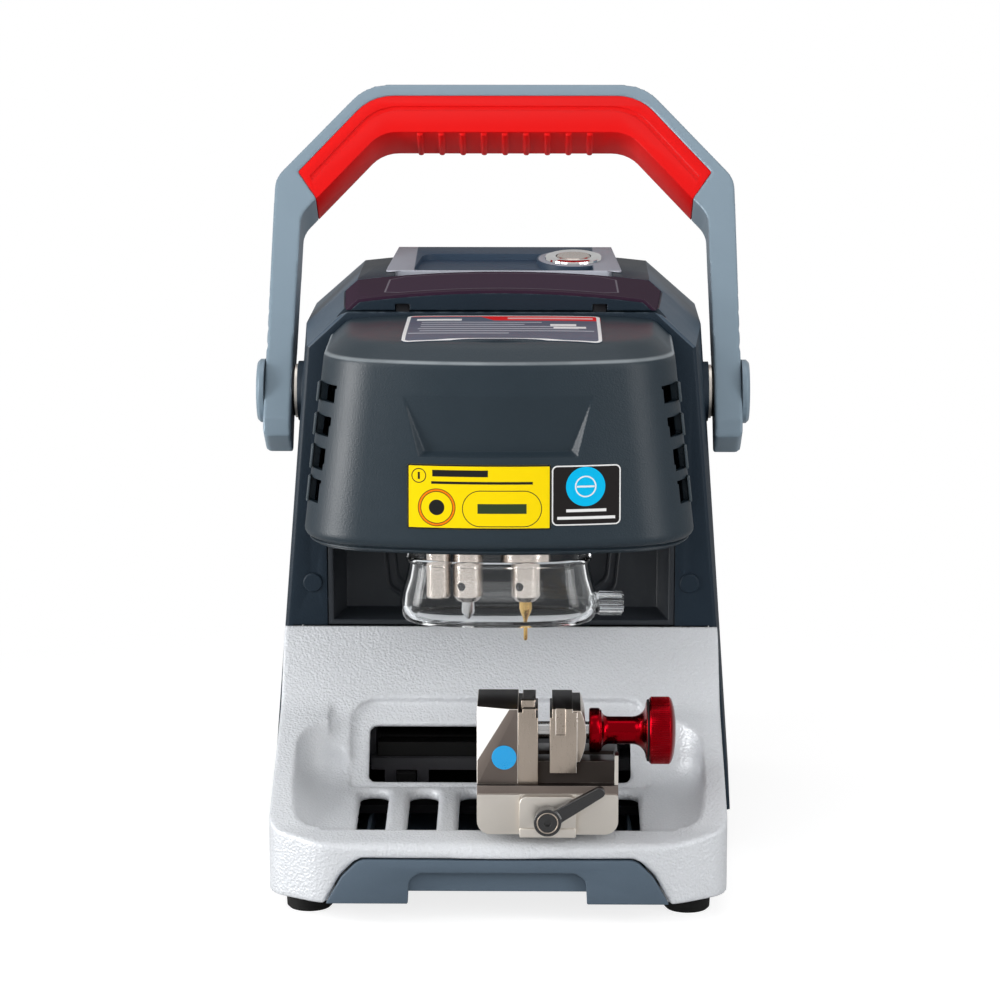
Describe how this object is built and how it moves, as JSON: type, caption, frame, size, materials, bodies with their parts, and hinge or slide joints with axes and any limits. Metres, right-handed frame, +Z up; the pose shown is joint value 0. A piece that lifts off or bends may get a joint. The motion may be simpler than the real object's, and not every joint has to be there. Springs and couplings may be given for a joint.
{
  "type": "key duplicating machine",
  "caption": "Bench key cutting machine with a sliding two-jaw clamp over a chip tray, a guarded cutter and probe, a tilting screen and a folding carry handle.",
  "frame": {"origin": "centre of the footprint at the bottom of the feet", "axes": "+X to the operator's right, +Y to the rear, +Z up"},
  "size_m": [0.2474, 0.3179, 0.3641],
  "materials": {
    "cast_paint": "hammered light grey paint",
    "navy_plastic": "fine matte texture, dark navy grey",
    "head_plastic": "fine matte texture, navy grey",
    "drawer_paint": "fine matte texture, slate grey",
    "black_plastic": "matte black",
    "rubber": "matte black rubber",
    "sheet_steel": "zinc plated",
    "rail_steel": "ground",
    "motor_steel": "black stepper motor",
    "aluminium": "machined",
    "column_iron": "cast aluminium",
    "satin_nickel": "satin nickel plated steel",
    "holder_steel": "satin steel",
    "tin_gold": "titanium nitride gold",
    "clear_guard": "clear moulded plastic",
    "anodised_red": "red anodised",
    "handle_paint": "fine satin blue grey",
    "red_grip": "red soft-touch",
    "screen_glass": "dark glossy",
    "chrome": "polished ring",
    "board_green": "circuit board"
  },
  "bodies": {
    "machine": {"base_casting": "cast_paint", "base_frame": "cast_paint", "base_plate": "sheet_steel", "feet": "rubber", "foot_screws": "sheet_steel", "rear_housing": "navy_plastic", "splash_panel": "navy_plastic", "screw_caps": "black_plastic", "rear_panel": "black_plastic", "power_inlet": "black_plastic", "rear_top_cover": "navy_plastic", "button_bezel": "chrome", "screen_hinge": "rail_steel", "head_cover": "head_plastic", "head_underplate": "black_plastic", "guard_post": "holder_steel", "z_column": "column_iron", "z_rails": "rail_steel", "z_motor": "motor_steel", "y_rails": "rail_steel", "y_motor": "motor_steel", "pivot_bolts": "satin_nickel", "pivot_washers": "rubber", "main_board": "board_green", "power_supply": "sheet_steel"},
    "drawer": {"drawer_front": "drawer_paint", "drawer_bin": "drawer_paint"},
    "rocker": {"rocker_switch": "black_plastic"},
    "button": {"power_button": "holder_steel"},
    "screen": {"screen_frame": "black_plastic", "screen_glass": "screen_glass"},
    "guard": {"cutter_guard": "clear_guard"},
    "z_head": {"z_carriage": "aluminium", "spindle_motor": "holder_steel", "probe_holder": "holder_steel", "probe_set_screw": "black_plastic", "probe_pin": "rail_steel"},
    "z_leadscrew": {"z_screw": "rail_steel"},
    "spindle": {"spindle_holder": "holder_steel", "spindle_set_screw": "black_plastic", "cutter": "tin_gold"},
    "y_table": {"y_carriage": "aluminium", "x_rails": "rail_steel", "x_motor": "motor_steel"},
    "y_leadscrew": {"y_screw": "rail_steel"},
    "x_table": {"x_carriage": "aluminium", "clamp_base": "satin_nickel", "clamp_block": "satin_nickel", "clamp_front_plate": "satin_nickel", "fixed_jaw": "satin_nickel", "lever_bolt": "black_plastic"},
    "x_leadscrew": {"x_screw": "rail_steel"},
    "jaw": {"moving_jaw": "satin_nickel"},
    "knob": {"clamp_knob": "anodised_red", "clamp_screw": "rail_steel"},
    "lever": {"lock_lever": "black_plastic"},
    "handle": {"handle_frame": "handle_paint", "handle_grip": "red_grip", "pivot_bosses": "drawer_paint"}
  },
  "joints": [
    {"name": "drawer_slide", "type": "slide", "parent": "machine", "child": "drawer", "axis": [0, -1, 0], "range_m": [0, 0.11]},
    {"name": "rocker_turn", "type": "hinge", "parent": "machine", "child": "rocker", "pos_m": [-0.015, 0.147, 0.07], "axis": [1, 0, 0], "range_deg": [-14, 0]},
    {"name": "button_press", "type": "slide", "parent": "machine", "child": "button", "axis": [0, 0.1253, -0.9921], "range_m": [0, 0.0015], "stiffness_N_per_m": 1200, "springref_m": -0.001},
    {"name": "screen_tilt", "type": "hinge", "parent": "machine", "child": "screen", "pos_m": [0, -0.019, 0.2682], "axis": [1, 0, 0], "range_deg": [0, 60]},
    {"name": "guard_pull", "type": "slide", "parent": "machine", "child": "guard", "axis": [0, 0, -1], "range_m": [0, 0.025]},
    {"name": "z_slide", "type": "slide", "parent": "machine", "child": "z_head", "axis": [0, 0, 1], "range_m": [-0.024, 0.004]},
    {"name": "z_screw_turn", "type": "hinge", "parent": "machine", "child": "z_leadscrew", "pos_m": [0, -0.0325, 0.2], "axis": [0, 0, 1], "range_deg": [-2200, 400]},
    {"name": "spindle_spin", "type": "hinge", "parent": "z_head", "child": "spindle", "pos_m": [0.0123, -0.095, 0.15], "axis": [0, 0, 1], "continuous": true},
    {"name": "y_slide", "type": "slide", "parent": "machine", "child": "y_table", "axis": [0, 1, 0], "range_m": [0, 0.034]},
    {"name": "y_screw_turn", "type": "hinge", "parent": "machine", "child": "y_leadscrew", "pos_m": [0, 0, 0.042], "axis": [0, 1, 0], "range_deg": [-20, 3080]},
    {"name": "x_slide", "type": "slide", "parent": "y_table", "child": "x_table", "axis": [1, 0, 0], "range_m": [-0.035, 0.01]},
    {"name": "x_screw_turn", "type": "hinge", "parent": "y_table", "child": "x_leadscrew", "pos_m": [0, -0.024, 0.0565], "axis": [1, 0, 0], "range_deg": [-3170, 920]},
    {"name": "jaw_slide", "type": "slide", "parent": "x_table", "child": "jaw", "axis": [1, 0, 0], "range_m": [-0.005, 0.006]},
    {"name": "knob_turn", "type": "hinge", "parent": "jaw", "child": "knob", "pos_m": [0.05, -0.125, 0.0856], "axis": [1, 0, 0], "range_deg": [-1210, 1450]},
    {"name": "lever_turn", "type": "hinge", "parent": "x_table", "child": "lever", "pos_m": [0.0226, -0.155, 0.0516], "axis": [0, -1, 0], "range_deg": [-25, 120]},
    {"name": "handle_fold", "type": "hinge", "parent": "machine", "child": "handle", "pos_m": [0, 0.055, 0.215], "axis": [1, 0, 0], "range_deg": [-29, 75]}
  ],
  "couplings": [
    {"joint": "z_screw_turn", "follows": "z_slide", "rad_per_m": 1570.8},
    {"joint": "y_screw_turn", "follows": "y_slide", "rad_per_m": 1570.8},
    {"joint": "x_screw_turn", "follows": "x_slide", "rad_per_m": 1570.8},
    {"joint": "knob_turn", "follows": "jaw_slide", "rad_per_m": 4188.8}
  ]
}
